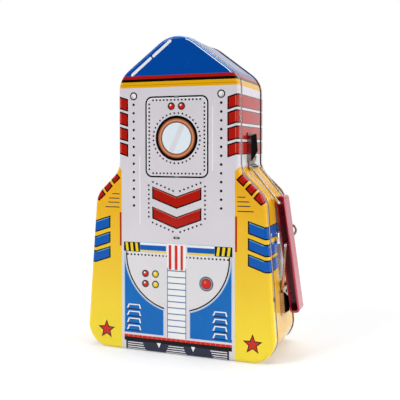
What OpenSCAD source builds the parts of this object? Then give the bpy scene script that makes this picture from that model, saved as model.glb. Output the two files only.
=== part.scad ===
// Tin space rocket: a rocket-shaped tinplate carry box with a rear lid,
// a swing-out handle and a wire latch on its right fin.
// Origin: centre of the flat base, +Z up, the printed front faces -Y.

/* [Overall size] */
// Height from the base to the tip of the nose
height = 240; // [230:1:250]
// Half of the width at the base, over the two fins
base_half = 77.2; // [70:0.1:84]
// Half of the width of the upper body
body_half = 48.2; // [44:0.1:52]
// Depth from the front face to the rear face
depth = 70.7; // [60:0.1:90]
// Inward lean of the fins' outer sides, per unit of height
fin_taper = 0.077; // [0.05:0.001:0.1]
// Drop of the nose's slopes, per unit of width
nose_slope = 0.76; // [0.6:0.01:0.9]
// Height where the upper body's side meets the shoulder
shoulder_z = 139.2; // [130:0.1:150]
// Drop of the shoulder, per unit of width
shoulder_slope = 0.974; // [0.8:0.001:1.2]

/* [Corners of the outline] */
// Radius at the tip of the nose
tip_r = 24.2; // [15:0.1:30]
// Radius at the nose's lower corners
nose_r = 20; // [10:0.5:24]
// Radius in the hollow above the shoulder
hollow_r = 16; // [8:0.5:20]
// Radius at the top of the fin
fin_r = 18; // [8:0.5:20]
// Radius at the foot of the fin
foot_r = 18; // [10:0.5:22]

/* [Tinplate] */
// Thickness of the tinplate
sheet = 0.5; // [0.3:0.1:0.8]
// Depth of the pressed rims of the front panel and of the lid
rim_depth = 8.6; // [6:0.1:12]
// Radius of the pressed front and rear edges
edge_r = 2.7; // [1.5:0.1:4]

/* [Handle] */
// Length of the grip
grip_length = 88; // [70:1:100]
// Thickness of the grip, off the box's side
grip_thick = 7.5; // [6:0.1:9]
// Depth of the grip, along the box's depth
grip_deep = 16.5; // [12:0.5:20]
// Lean of the folded grip from the vertical, in degrees
grip_lean = 8; // [7:0.1:9]
// Wire diameter of the two handle links
link_wire = 1.8; // [1.6:0.1:2.4]

/* [Latch] */
// Wire diameter of the latch loop
loop_wire = 1.8; // [1.4:0.1:2]
// Thickness of the stamped latch and hinge plates
plate = 0.8; // [0.6:0.1:1]

/* [Hidden] */
$fn = 48;

// Small clearances between pieces
contact_gap = 0.02;
pin_gap = 0.05;
moving_gap = 0.35;

// A cutting solid runs this far past what it cuts, and the largest ones are this wide
cut_past = 1;
cut_wide = 60;

// Places along the depth
front_y = -depth / 2;
front_seam_y = front_y + rim_depth;
rear_y = depth / 2;
rear_seam_y = rear_y - rim_depth;
seam_gap = 0.3;
band_end_y = rear_seam_y - seam_gap;

// Angle of the fins' sides from the vertical
fin_lean = atan(fin_taper);

// Top corner of the fin, where the shoulder's line meets the fin's line
fin_top_z = (shoulder_z - shoulder_slope * (base_half - body_half)) / (1 - shoulder_slope * fin_taper);
fin_top_x = base_half - fin_taper * fin_top_z;

// The nose's sharp tip stands above its rounded top, which is at the full height
nose_tip_z = height + tip_r * (sqrt(1 + nose_slope * nose_slope) - 1);
nose_corner_z = nose_tip_z - nose_slope * body_half;

// Corners of the outline, anticlockwise from the right foot: x, z, radius, steps.
// A hollow corner has a negative radius.
right_corners = [
    [base_half, 0, foot_r, 8],
    [fin_top_x, fin_top_z, fin_r, 6],
    [body_half, shoulder_z, -hollow_r, 6],
    [body_half, nose_corner_z, nose_r, 6]];
tip_corner = [0, nose_tip_z, tip_r, 10];
left_corners = [for (i = [3 : -1 : 0]) [-right_corners[i][0], right_corners[i][1],
    right_corners[i][2], right_corners[i][3]]];
corners = concat(right_corners, [tip_corner], left_corners);

// Unit normal, pointing into the outline, of the edge from p to q
function inner_normal(p, q) = [p[1] - q[1], q[0] - p[0]] / norm([q[0] - p[0], q[1] - p[1]]);

// The arc of corner i, moved into the outline by inset
function corner_arc(i, inset) = let (
    count = len(corners),
    here = corners[i],
    before = corners[(i + count - 1) % count],
    after = corners[(i + 1) % count],
    normal_in = inner_normal(before, here),
    normal_out = inner_normal(here, after),
    bisector = (normal_in + normal_out) / (1 + normal_in * normal_out),
    centre = [here[0], here[1]] + here[2] * bisector,
    radius = here[2] - inset,
    start = atan2(normal_in[1], normal_in[0]),
    turn = atan2(normal_in[0] * normal_out[1] - normal_in[1] * normal_out[0], normal_in * normal_out))
    [for (k = [0 : here[3]]) let (a = start + turn * k / here[3]) centre - radius * [cos(a), sin(a)]];

// The whole outline, moved inward by inset; every inset has the same number of points
function outline(inset) = [for (i = [0 : len(corners) - 1]) each corner_arc(i, inset)];

outline_count = len(outline(0));

function ring_points(profile) = [for (p = profile) for (q = outline(p[0])) [q[0], p[1], q[1]]];

function ring_faces(rings, first_to_last) = [for (j = [0 : rings - (first_to_last ? 1 : 2)])
    for (i = [0 : outline_count - 1]) let (
        next_ring = (j + 1) % rings,
        next_i = (i + 1) % outline_count)
    [j * outline_count + i, next_ring * outline_count + i,
     next_ring * outline_count + next_i, j * outline_count + next_i]];

// A strip that follows the outline; profile is a closed list of [inset, y]
module outline_strip(profile) {
    polyhedron(points = ring_points(profile), faces = ring_faces(len(profile), true));
}

// The flat face that closes ring j, as a ladder of level strips from foot to tip
function flat_faces(j, flip) = let (
    base = j * outline_count,
    half = (outline_count - 1) / 2)
    [for (i = [0 : half - 1]) let (
        mirror_i = outline_count - 1 - i,
        strip = i == half - 1 ? [i, i + 1, mirror_i] : [i, i + 1, mirror_i - 1, mirror_i],
        last = len(strip) - 1)
    [for (k = [0 : last]) base + strip[flip ? last - k : k]]];

// A pressed cap: the profile runs from the rim, round the face and back inside to the rim.
// outside_count is the number of profile points on the outside.
module pressed_cap(profile, outside_count) {
    face_ring = outside_count - 1;
    walls = [for (f = ring_faces(len(profile), true)) if (floor(f[0] / outline_count) != face_ring) f];
    faces = concat(walls, flat_faces(face_ring, true), flat_faces(face_ring + 1, false));
    polyhedron(points = ring_points(profile), faces = faces);
}

// Profile of a cap whose rim's edge is at rim_y and whose face is at face_y
edge_steps = 4;
curl_in = 0.25;
curl_run = 0.5;
function cap_profile(rim_y, face_y) = let (
    side = face_y > rim_y ? 1 : -1,
    outer_edge = [for (k = [0 : edge_steps]) let (a = 90 * k / edge_steps)
        [edge_r * (1 - cos(a)), face_y - side * edge_r * (1 - sin(a))]],
    inner_r = edge_r - sheet,
    inner_edge = [for (k = [edge_steps : -1 : 0]) let (a = 90 * k / edge_steps)
        [sheet + inner_r * (1 - cos(a)), face_y - side * (sheet + inner_r * (1 - sin(a)))]])
    concat([[curl_in, rim_y], [0, rim_y + side * curl_run]], outer_edge, inner_edge, [[sheet, rim_y]]);
cap_outside = 2 + edge_steps + 1;

// Puts children on the right fin's side: x outward, y along the depth, z up the side
module on_fin(z) {
    translate([base_half - fin_taper * z, 0, z]) rotate([0, -fin_lean, 0]) children();
}

module on_left_fin(z) {
    mirror([1, 0, 0]) on_fin(z) children();
}

// A bar between two points of the same y
module bar_xz(from, to, y, r) {
    run = to - from;
    translate([from[0], y, from[1]]) rotate([0, atan2(run[0], run[1]), 0]) cylinder(h = norm(run), r = r);
}

// A rod along the depth
module rod_y(x, z, y_from, y_to, r) {
    translate([x, y_from, z]) rotate([-90, 0, 0]) cylinder(h = y_to - y_from, r = r);
}

// A plate that lies on a side: y and z ranges, from x = low to x = high
module flat_plate(y_low, y_high, z_low, z_high, low, high) {
    translate([low, y_low, z_low]) cube([high - low, y_high - y_low, z_high - z_low]);
}

// A low round rivet whose shank goes into the side; size is [head radius, head height, shank radius]
module rivet(y, z, base, size, shank) {
    translate([base, y, z]) rotate([0, 90, 0]) {
        cylinder(h = size[1], r = size[0]);
        translate([0, 0, -shank]) cylinder(h = shank, r = size[2]);
    }
}

// ---- Shells ----

module front_panel() {
    color("gainsboro") pressed_cap(cap_profile(front_seam_y, front_y), cap_outside);
}

// The band tucks inside the front panel's rim and its edges are curled in a little
tuck = 5;
step = 1.2;
module body_band() {
    color("gold") mirror([0, 1, 0]) outline_strip([
        [curl_in, -(front_seam_y + contact_gap)],
        [0, -(front_seam_y + curl_run)],
        [0, -(band_end_y - curl_run)],
        [curl_in, -band_end_y],
        [sheet, -band_end_y],
        [sheet, -(front_seam_y + step)],
        [2 * sheet + contact_gap, -(front_seam_y + contact_gap)],
        [2 * sheet + contact_gap, -(front_seam_y - tuck)],
        [sheet + contact_gap, -(front_seam_y - tuck)],
        [sheet + contact_gap, -(front_seam_y + contact_gap)]]);
}

// The inner lip that the lid's rim closes over
collar_in = 11;
collar_out = 5;
// The lip steps inward between these distances from the band's edge
collar_step_from = 1;
collar_step_to = 0.2;
module body_collar() {
    low = sheet + contact_gap;
    high = sheet + moving_gap;
    color("silver") mirror([0, 1, 0]) outline_strip([
        [low, -(band_end_y - collar_in)],
        [low, -(band_end_y - collar_step_from)],
        [high, -(band_end_y - collar_step_to)],
        [high, -(rear_seam_y + collar_out)],
        [high + sheet, -(rear_seam_y + collar_out)],
        [high + sheet, -(band_end_y - collar_step_to)],
        [low + sheet, -(band_end_y - collar_step_from)],
        [low + sheet, -(band_end_y - collar_in)]]);
}

module rear_lid() {
    color("gainsboro") mirror([0, 1, 0]) pressed_cap(cap_profile(-rear_seam_y, -rear_y), cap_outside);
}

// Tubular rivets that hold the front panel's rim to the band
front_rivet_z = [47, 178];
front_rivet_y = front_y + 4.6;
eyelet_head_r = 1.8;
eyelet_head_h = 0.6;
eyelet_shank_r = 1.1;
eyelet_shank = 2;
eyelet_hole_r = 0.6;
module front_rivet_pair() {
    on_fin(front_rivet_z[0]) eyelet(front_rivet_y);
    translate([body_half, 0, front_rivet_z[1]]) eyelet(front_rivet_y);
}
module eyelet(y) {
    translate([0, y, 0]) rotate([0, 90, 0]) difference() {
        union() {
            cylinder(h = eyelet_head_h, r = eyelet_head_r);
            translate([0, 0, -eyelet_shank]) cylinder(h = eyelet_shank, r = eyelet_shank_r);
        }
        translate([0, 0, -eyelet_shank - cut_past])
            cylinder(h = eyelet_shank + 2 * cut_past, r = eyelet_hole_r);
    }
}
module front_rivets() {
    color("silver") {
        front_rivet_pair();
        mirror([1, 0, 0]) front_rivet_pair();
    }
}

// ---- Hinges on the left fin ----

hinge_y = rear_seam_y - seam_gap / 2;
hinge_out = 2.9;
knuckle_r = 1.8;
hinge_pin_r = 0.9;
leaf_half = 12;
upper_hinge_z = 94;
lower_hinge_z = 34;
knuckle_third = 2 * leaf_half / 3;
leaf_reach = 14;
lid_leaf_reach = 5.7;
riser_y = 3.4;
web_thick = 0.7;
seam_clear = 0.2;
knuckle_gap = 0.2;
pin_head_h = 0.6;
pin_over = 0.8;
hinge_rivet_dz = 8;
body_rivet = [1.7, 0.7, 1];
body_rivet_in = 4;
lid_rivet = [1.2, 0.5, 0.8];
lid_rivet_in = 1.7;
// How far a rivet's shank goes into the box, through the band and the collar
deep_shank = 3;

module knuckle(z_low, z_high) {
    translate([hinge_out, hinge_y, z_low]) difference() {
        cylinder(h = z_high - z_low, r = knuckle_r);
        translate([0, 0, -cut_past]) cylinder(h = z_high - z_low + 2 * cut_past, r = hinge_pin_r + pin_gap);
    }
}

// The bent web that joins a leaf's plate to a knuckle, over the seam's bead
module leaf_web(side, z_low, z_high) {
    lift = hinge_out - knuckle_r;
    y_far = hinge_y + side * riser_y;
    y_near = hinge_y + side * seam_clear;
    flat_plate(min(y_far, y_near), max(y_far, y_near), z_low, z_high, lift, lift + web_thick);
    flat_plate(min(y_far, y_far - side), max(y_far, y_far - side), z_low, z_high,
        contact_gap, lift + web_thick);
}

module body_leaf(z) {
    on_left_fin(z) {
        flat_plate(hinge_y - leaf_reach, hinge_y - riser_y + 1, -leaf_half, leaf_half, contact_gap, plate);
        for (s = [-1, 1]) {
            low = s < 0 ? -leaf_half : knuckle_third / 2 + knuckle_gap;
            high = s < 0 ? -knuckle_third / 2 - knuckle_gap : leaf_half;
            leaf_web(-1, low, high);
            knuckle(low, high);
        }
    }
}

module lid_leaf(z) {
    half = knuckle_third / 2 - knuckle_gap;
    on_left_fin(z) {
        flat_plate(hinge_y + riser_y - 1, hinge_y + lid_leaf_reach, -leaf_half, leaf_half, contact_gap, plate);
        leaf_web(1, -half, half);
        knuckle(-half, half);
    }
}

module hinge_pin(z) {
    on_left_fin(z) translate([hinge_out, hinge_y, -leaf_half - pin_over]) {
        cylinder(h = 2 * (leaf_half + pin_over), r = hinge_pin_r);
        for (z = [0, 2 * (leaf_half + pin_over) - pin_head_h]) translate([0, 0, z])
            cylinder(h = pin_head_h, r = knuckle_r - 0.3);
    }
}

module hinge_body_leaf_upper() { color("silver") body_leaf(upper_hinge_z); }
module hinge_body_leaf_lower() { color("silver") body_leaf(lower_hinge_z); }
module hinge_lid_leaf_upper() { color("silver") lid_leaf(upper_hinge_z); }
module hinge_lid_leaf_lower() { color("silver") lid_leaf(lower_hinge_z); }
module hinge_pin_upper() { color("gray") hinge_pin(upper_hinge_z); }
module hinge_pin_lower() { color("gray") hinge_pin(lower_hinge_z); }

module hinge_body_rivets() {
    color("silver") for (z = [lower_hinge_z, upper_hinge_z]) on_left_fin(z)
        for (dz = [-1, 1] * hinge_rivet_dz)
            rivet(hinge_y - leaf_reach + body_rivet_in, dz, plate, body_rivet, deep_shank);
}

module hinge_lid_rivets() {
    color("silver") for (z = [lower_hinge_z, upper_hinge_z]) on_left_fin(z)
        for (dz = [-1, 1] * hinge_rivet_dz)
            rivet(hinge_y + lid_leaf_reach - lid_rivet_in, dz, plate, lid_rivet, plate + sheet);
}

// ---- Latch on the right fin ----

latch_z = 76;
loop_r = loop_wire / 2;
loop_out = 2.1;
loop_pivot_y = rear_seam_y + 4;
loop_reach = 15.8;
loop_bar_y = loop_pivot_y - loop_reach;
loop_low = -19;
loop_high = 20;
pull_r = 4.5;
pull_z = 14;
catch_y_low = -13;
catch_half = 17;
// The ridge is just in front of the loop's front bar
ridge_wide = 2;
ridge_gap = 0.5;
ridge_half = 10;
ridge_high = 0.6;
ridge_y = loop_bar_y - loop_r - ridge_gap - ridge_wide;
tab_r = 1.6;
tab_wall = 0.6;
tab_low = 9;
tab_long = 8;
catch_rivet = [1.4, 0.4, 0.9];
catch_rivet_y = ridge_y - 2.5;
catch_rivet_dz = 13;

module latch_catch() {
    color("silver") on_fin(latch_z) {
        flat_plate(catch_y_low, ridge_y + ridge_wide, -catch_half, catch_half, contact_gap, plate);
        // Ridge that holds the loop's front bar
        translate([plate + ridge_high, ridge_y + ridge_wide / 2, -ridge_half])
            cylinder(h = 2 * ridge_half, r = ridge_wide / 2);
        flat_plate(ridge_y, ridge_y + ridge_wide, -ridge_half, ridge_half, plate / 2, plate + ridge_high);
        // Curled thumb tab at the front edge
        translate([tab_r + contact_gap, catch_y_low + tab_wall, tab_low]) difference() {
            cylinder(h = tab_long, r = tab_r);
            translate([0, 0, -cut_past]) cylinder(h = tab_long + 2 * cut_past, r = tab_r - tab_wall);
        }
    }
}

module latch_catch_rivets() {
    color("silver") on_fin(latch_z) for (dz = [-1, 1] * catch_rivet_dz)
        rivet(catch_rivet_y, dz, plate, catch_rivet, deep_shank);
}

// Plate on the lid with two eyes for the loop's pivot bar; y ranges are from that bar
knuckle_plate_y = [-2.3, 1.8];
knuckle_plate_z = [-17, 9.5];
eye_r = 1.65;
eye_low = [-15.5, 2];
eye_high = [-10, 7.5];
knuckle_rivet = [1.3, 0.25, 0.8];
knuckle_rivet_y = -0.3;
knuckle_rivet_z = [-7, -1];
module latch_knuckle() {
    color("silver") on_fin(latch_z) {
        difference() {
            union() {
                flat_plate(loop_pivot_y + knuckle_plate_y[0], loop_pivot_y + knuckle_plate_y[1],
                    knuckle_plate_z[0], knuckle_plate_z[1], contact_gap, plate);
                for (i = [0, 1]) translate([loop_out, loop_pivot_y, eye_low[i]])
                    cylinder(h = eye_high[i] - eye_low[i], r = eye_r);
            }
            translate([loop_out, loop_pivot_y, -cut_wide / 2]) cylinder(h = cut_wide, r = loop_r + pin_gap);
        }
    }
}

module latch_knuckle_rivets() {
    color("silver") on_fin(latch_z) for (dz = knuckle_rivet_z)
        rivet(loop_pivot_y + knuckle_rivet_y, dz, plate, knuckle_rivet, plate + sheet);
}

// Wire loop: pivot bar, a half-round finger pull, two legs and the front bar
module latch_loop() {
    color("dimgray") on_fin(latch_z) translate([loop_out, 0, 0]) {
        translate([0, loop_pivot_y, loop_low]) cylinder(h = pull_z - pull_r - loop_low, r = loop_r);
        translate([0, loop_pivot_y, pull_z]) rotate([90, 0, 0]) rotate([0, 0, -90])
            rotate_extrude(angle = 180) translate([pull_r, 0]) circle(r = loop_r);
        translate([0, loop_pivot_y, pull_z + pull_r]) cylinder(h = loop_high - pull_z - pull_r, r = loop_r);
        translate([0, loop_bar_y, loop_low]) cylinder(h = loop_high - loop_low, r = loop_r);
        for (z = [loop_low, loop_high]) {
            translate([0, loop_bar_y, z]) rotate([-90, 0, 0]) cylinder(h = loop_reach, r = loop_r);
            for (y = [loop_bar_y, loop_pivot_y]) translate([0, y, z]) sphere(r = loop_r);
        }
    }
}

// ---- Handle ----

link_r = link_wire / 2;
// Places of the wires' arms along the depth: the upper link has one on each side of the grip
upper_arms_y = [-12.2, 12.6];
lower_arm_y = -9;
upper_pivot = [50.9, 142];
grip_pivot = [72.7, 115.6];
lower_pivot = [75.3, 53];
lower_reach = 31;
lower_angle = 3.5;
lower_tip = lower_pivot + lower_reach * [sin(lower_angle), cos(lower_angle)];
grip_y_low = -7.5;
grip_y_high = grip_y_low + grip_deep;
grip_wall = 1.3;
grip_above = 4.5;
grip_back = 1.8;
grip_end_wall = 1.5;
grip_end_r = 2.5;
grip_side_r = 1.2;
grip_inner_r = 1.4;
grip_boss_r = 2.3;
grip_boss_y = -4;
// How far the lower wire's end stands out of its eye, and how far its tip stops short of the grip's back
link_over = 0.8;
lower_short = 2.5;
bracket_eye_r = 1.6;
bracket_high = 3.2;
bracket_wall = 0.7;
bracket_y_low = -12.5;
bracket_y_high = 12;
// The plate starts above the curve of the hollow corner, and what is below it is lifted
bracket_low = 4.3;
foot_lift = 0.6;
web_x = 1.5;
upper_bracket_tall = 26;
lower_bracket_tall = 22;
bracket_rivet = [1.6, 0.6, 1];
bracket_rivet_y = 9.5;
bracket_rivet_low = 7.5;
bracket_rivet_in = 3.5;
eye_web_z = 2;
// The raised cover: its foot, its top at the front and at the back, and its widest place
cover_foot_y = -9.5;
cover_foot_z = 4.6;
cover_foot_wall = 1.5;
cover_front_in = 2.2;
cover_top_y = 3;
cover_top_in = 0.5;
cover_wide_y = 7;
cover_wide_z = 12;
// The eyes' ends; the front end is just behind the wire's arm
eye_clear = 0.4;
upper_eye_y_low = upper_arms_y[0] + link_r + eye_clear;
lower_eye_y_low = lower_arm_y + link_r + eye_clear;
eye_y_high = 5;

// Closed wire loop: a rod in the bracket's eye, a rod through the grip, and an arm on each side
module handle_link_upper() {
    color("silver") {
        for (y = upper_arms_y) {
            bar_xz(upper_pivot, grip_pivot, y, link_r);
            for (p = [upper_pivot, grip_pivot]) translate([p[0], y, p[1]]) sphere(r = link_r);
        }
        for (p = [upper_pivot, grip_pivot]) rod_y(p[0], p[1], upper_arms_y[0], upper_arms_y[1], link_r);
    }
}

// Wire crank: a straight arm, a stub that turns in the bracket's eye and a tip inside the grip
module handle_link_lower() {
    color("silver") {
        bar_xz(lower_pivot, lower_tip, lower_arm_y, link_r);
        for (p = [lower_pivot, lower_tip]) translate([p[0], lower_arm_y, p[1]]) sphere(r = link_r);
        rod_y(lower_pivot[0], lower_pivot[1], lower_arm_y, eye_y_high + link_over, link_r);
        rod_y(lower_tip[0], lower_tip[1], lower_arm_y, grip_y_high - lower_short, link_r);
    }
}

// Five-sided raised cover, in y and z, of a bracket that stands from z = 0 to z = tall
function cover_outline(tall, inset) = [
    [bracket_y_low + inset, cover_foot_z], [bracket_y_low + inset, tall - cover_front_in - inset],
    [cover_top_y - inset, tall - cover_top_in - inset], [cover_wide_y - inset, cover_wide_z],
    [cover_foot_y - inset, cover_foot_z]];

// Stamped bracket; its eye is at z = 0, at eye_x from the side, and starts at eye_y_low
module bracket(eye_x, tall, eye_y_low) {
    difference() {
        union() {
            flat_plate(bracket_y_low, bracket_y_high, bracket_low, tall, contact_gap, bracket_wall);
            rotate([90, 0, 90]) linear_extrude(bracket_high) polygon(cover_outline(tall, 0));
            rod_y(eye_x, 0, eye_y_low, eye_y_high, bracket_eye_r);
            flat_plate(eye_y_low, eye_y_high, 0, eye_web_z, contact_gap, eye_x);
            flat_plate(eye_y_low, eye_y_high, 0, bracket_low + bracket_wall, contact_gap, web_x);
        }
        rod_y(eye_x, 0, -cut_wide / 2, cut_wide / 2, link_r + pin_gap);
        translate([-cut_past, 0, 0]) rotate([90, 0, 90]) linear_extrude(bracket_high - bracket_wall + cut_past)
            intersection() {
                polygon(cover_outline(tall, bracket_wall));
                translate([-cut_wide / 2, cover_foot_z + cover_foot_wall]) square(cut_wide);
            }
        // Clears the side under the cover
        translate([-cut_past, -cut_wide / 2, -cut_wide / 2]) cube([cut_past + contact_gap, cut_wide, cut_wide]);
        translate([-cut_past, -cut_wide / 2, bracket_low - 0.1 - cut_wide])
            cube([cut_past + foot_lift, cut_wide, cut_wide]);
    }
}

module on_upper_bracket() {
    translate([body_half, 0, upper_pivot[1]]) children();
}

// The lower bracket is shorter and turned over, on the fin's side
lower_eye_out = (lower_pivot[0] - base_half + fin_taper * lower_pivot[1]) * cos(fin_lean);
module on_lower_bracket() {
    translate([lower_pivot[0], 0, lower_pivot[1]]) rotate([0, -fin_lean, 0])
        translate([-lower_eye_out, 0, 0]) mirror([0, 0, 1]) children();
}

module handle_bracket_upper() {
    color("dimgray") on_upper_bracket() bracket(upper_pivot[0] - body_half, upper_bracket_tall, upper_eye_y_low);
}

module handle_bracket_lower() {
    color("dimgray") on_lower_bracket() bracket(lower_eye_out, lower_bracket_tall, lower_eye_y_low);
}

module bracket_rivet_pair(tall) {
    for (z = [bracket_rivet_low, tall - bracket_rivet_in])
        rivet(bracket_rivet_y, z, bracket_wall, bracket_rivet, deep_shank);
}
module bracket_rivets_upper() {
    color("silver") on_upper_bracket() bracket_rivet_pair(upper_bracket_tall);
}
module bracket_rivets_lower() {
    color("silver") on_lower_bracket() bracket_rivet_pair(lower_bracket_tall);
}

// A rectangle with round corners, centred
module round_rect(w, h, r) {
    square([w - 2 * r, h], center = true);
    square([w, h - 2 * r], center = true);
    for (sx = [-1, 1]) for (sy = [-1, 1]) translate([sx * (w / 2 - r), sy * (h / 2 - r)]) circle(r = r);
}

// Channel-shaped grip, open to the front; its origin is the upper pin
module handle_grip() {
    mid_z = grip_above - grip_length / 2;
    mid_y = (grip_y_low + grip_y_high) / 2;
    color("crimson") translate([grip_pivot[0], 0, grip_pivot[1]]) rotate([0, -grip_lean, 0]) difference() {
        union() {
            difference() {
                intersection() {
                    translate([0, grip_y_high, mid_z]) rotate([90, 0, 0])
                        linear_extrude(grip_deep) round_rect(grip_thick, grip_length, grip_end_r);
                    translate([0, mid_y, mid_z - grip_length / 2])
                        linear_extrude(grip_length) round_rect(grip_thick, grip_deep, grip_side_r);
                }
                translate([0, grip_y_high - grip_back, mid_z]) rotate([90, 0, 0])
                    linear_extrude(grip_deep)
                        round_rect(grip_thick - 2 * grip_wall, grip_length - 2 * grip_end_wall, grip_inner_r);
            }
            rod_y(0, 0, grip_boss_y, grip_y_high - grip_back / 2, grip_boss_r);
        }
        rod_y(0, 0, -cut_wide / 2, grip_y_high + cut_past, link_r + pin_gap);
    }
}

front_panel();
body_band();
body_collar();
rear_lid();
front_rivets();
hinge_body_leaf_upper();
hinge_body_leaf_lower();
hinge_lid_leaf_upper();
hinge_lid_leaf_lower();
hinge_pin_upper();
hinge_pin_lower();
hinge_body_rivets();
hinge_lid_rivets();
latch_catch();
latch_catch_rivets();
latch_knuckle();
latch_knuckle_rivets();
latch_loop();
handle_bracket_upper();
handle_bracket_lower();
bracket_rivets_upper();
bracket_rivets_lower();
handle_link_upper();
handle_link_lower();
handle_grip();
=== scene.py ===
"""Looks of the rocket-shaped tin box. Lengths are in millimetres until a mesh is made.

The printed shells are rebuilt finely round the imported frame: each print is a set of flat shapes,
cut into the skin and painted in order, so that every edge of the print is a real edge of the mesh.
"""
import math

import bpy
import numpy as np
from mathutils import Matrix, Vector
from mathutils.geometry import delaunay_2d_cdt


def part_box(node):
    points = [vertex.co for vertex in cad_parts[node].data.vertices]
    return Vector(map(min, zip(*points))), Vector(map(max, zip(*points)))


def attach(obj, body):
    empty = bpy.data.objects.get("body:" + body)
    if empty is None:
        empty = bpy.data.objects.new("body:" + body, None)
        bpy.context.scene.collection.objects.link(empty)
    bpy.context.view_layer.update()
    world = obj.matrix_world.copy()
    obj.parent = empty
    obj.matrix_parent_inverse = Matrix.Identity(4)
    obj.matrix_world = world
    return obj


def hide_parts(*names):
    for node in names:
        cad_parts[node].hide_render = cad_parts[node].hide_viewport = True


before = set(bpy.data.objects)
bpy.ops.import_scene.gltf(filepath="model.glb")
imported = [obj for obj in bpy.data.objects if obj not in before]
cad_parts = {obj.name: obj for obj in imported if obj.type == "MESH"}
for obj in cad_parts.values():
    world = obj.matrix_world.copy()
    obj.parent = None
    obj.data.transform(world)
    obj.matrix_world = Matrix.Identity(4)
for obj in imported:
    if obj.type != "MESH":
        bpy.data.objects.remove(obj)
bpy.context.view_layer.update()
MM = 0.001  # in metres
TINY = 1e-6

# ---- The outline, as in the CAD source ----
BASE_HALF, BODY_HALF, HEIGHT = 77.2, 48.2, 240.0
FIN_TAPER, NOSE_SLOPE = 0.077, 0.76
SHOULDER_Z, SHOULDER_SLOPE = 139.2, 0.974
TIP_R, NOSE_R, HOLLOW_R, FIN_R, FOOT_R = 24.2, 20.0, 16.0, 18.0, 18.0
SHEET, EDGE_R = 0.5, 2.7
FRONT_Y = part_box("front_panel")[0].y / MM
FRONT_SEAM_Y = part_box("front_panel")[1].y / MM
REAR_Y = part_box("rear_lid")[1].y / MM
REAR_SEAM_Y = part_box("rear_lid")[0].y / MM
# The band starts a hair behind the front panel and ends short of the lid
BAND_START_Y, BAND_END_Y = FRONT_SEAM_Y + 0.02, REAR_SEAM_Y - 0.3

shoulder_drop = SHOULDER_SLOPE * (BASE_HALF - BODY_HALF)
fin_top_z = (SHOULDER_Z - shoulder_drop) / (1 - SHOULDER_SLOPE * FIN_TAPER)
fin_top_x = BASE_HALF - FIN_TAPER * fin_top_z
nose_tip_z = HEIGHT + TIP_R * (math.hypot(1, NOSE_SLOPE) - 1)
# Sharp corners of the right half, from the base up: x, z, rounding radius, less than 0 for a hollow
right = [
    (BASE_HALF, 0.0, FOOT_R),
    (fin_top_x, fin_top_z, FIN_R),
    (BODY_HALF, SHOULDER_Z, -HOLLOW_R),
    (BODY_HALF, nose_tip_z - NOSE_SLOPE * BODY_HALF, NOSE_R),
]
CORNERS = right + [(0.0, nose_tip_z, TIP_R)] + [(-x, z, r) for x, z, r in reversed(right)]


def outline_stations(arc_step=3.0, line_step=12.0):
    """Stations round the outline from the middle of the base, anticlockwise: s, x, z, nx, nz.

    They lie arc_step degrees apart on the rounded corners and about line_step apart elsewhere.
    The normal (nx, nz) points outward."""
    rows, s, here = [], 0.0, np.array([0.0, 0.0])

    def line_to(q, inner):
        nonlocal s, here
        run = float(np.linalg.norm(q - here))
        n = max(1, round(run / line_step))
        for k in range(1, n + 1):
            p = here + (q - here) * k / n
            rows.append((s + run * k / n, p[0], p[1], -inner[0], -inner[1]))
        s, here = s + run, q

    rows.append((0.0, 0.0, 0.0, 0.0, -1.0))
    n_corners = len(CORNERS)
    for i, (cx, cz, r) in enumerate(CORNERS):
        p = np.array([cx, cz])
        before, after = (np.array(CORNERS[(i + k) % n_corners][:2]) for k in (-1, 1))
        a, b = (p - before) / np.linalg.norm(p - before), (after - p) / np.linalg.norm(after - p)
        n_in, n_out = np.array([-a[1], a[0]]), np.array([-b[1], b[0]])
        centre = p + r * (n_in + n_out) / (1 + n_in @ n_out)
        start = math.atan2(n_in[1], n_in[0])
        turn = math.atan2(n_in[0] * n_out[1] - n_in[1] * n_out[0], n_in @ n_out)
        line_to(centre - r * n_in, n_in)
        steps = max(2, 2 * round(abs(math.degrees(turn)) / arc_step / 2))
        for k in range(1, steps + 1):
            t = start + turn * k / steps
            inner = np.array([math.cos(t), math.sin(t)])
            q = centre - r * inner
            rows.append((s + r * turn * k / steps, q[0], q[1], -inner[0], -inner[1]))
        s, here = s + r * turn, centre - r * n_out
    line_to(np.array([0.0, 0.0]), np.array([0.0, 1.0]))
    return np.array(rows)


STATIONS = outline_stations()
ROUND = STATIONS[-1, 0]
# The same outline in steps of about 0.1 mm, to search for the nearest point
DENSE_COUNT = 6001
DENSE_S = np.linspace(0, ROUND, DENSE_COUNT)
DENSE = np.column_stack([np.interp(DENSE_S, STATIONS[:, 0], STATIONS[:, k]) for k in range(1, 5)])


def at(s):
    """Point and outward normal at distance s round the outline."""
    s = s if s == ROUND else s % ROUND
    x, z, nx, nz = (float(np.interp(s, STATIONS[:, 0], STATIONS[:, k])) for k in range(1, 5))
    h = math.hypot(nx, nz)
    return x, z, nx / h, nz / h


def s_at_z(z):
    """Distance round the outline to height z on the right side, above the foot."""
    half = DENSE_S <= ROUND / 2
    return float(np.interp(z, DENSE[half, 1], DENSE_S[half]))


def offset_point(s, inset):
    """The point at distance s round the outline, moved in by inset."""
    x, z, nx, nz = at(s)
    return x - nx * inset, z - nz * inset


def nearest(x, z):
    """Distance round, inset and outward normal of the outline's point nearest to (x, z)."""
    d = np.hypot(DENSE[:, 0] - x, DENSE[:, 1] - z)
    i = int(d.argmin())
    n = DENSE[i, 2:] / np.linalg.norm(DENSE[i, 2:])
    inset = float((DENSE[i, :2] - (x, z)) @ n)
    return float(DENSE_S[i]), inset, n


# ---- Inks ----
def linear(rgb):
    """An sRGB colour, 0 to 255, as linear values, 0 to 1."""
    c = np.array(rgb, float) / 255
    return np.where(c <= 0.04045, c / 12.92, ((c + 0.055) / 1.055) ** 2.4)


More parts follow.
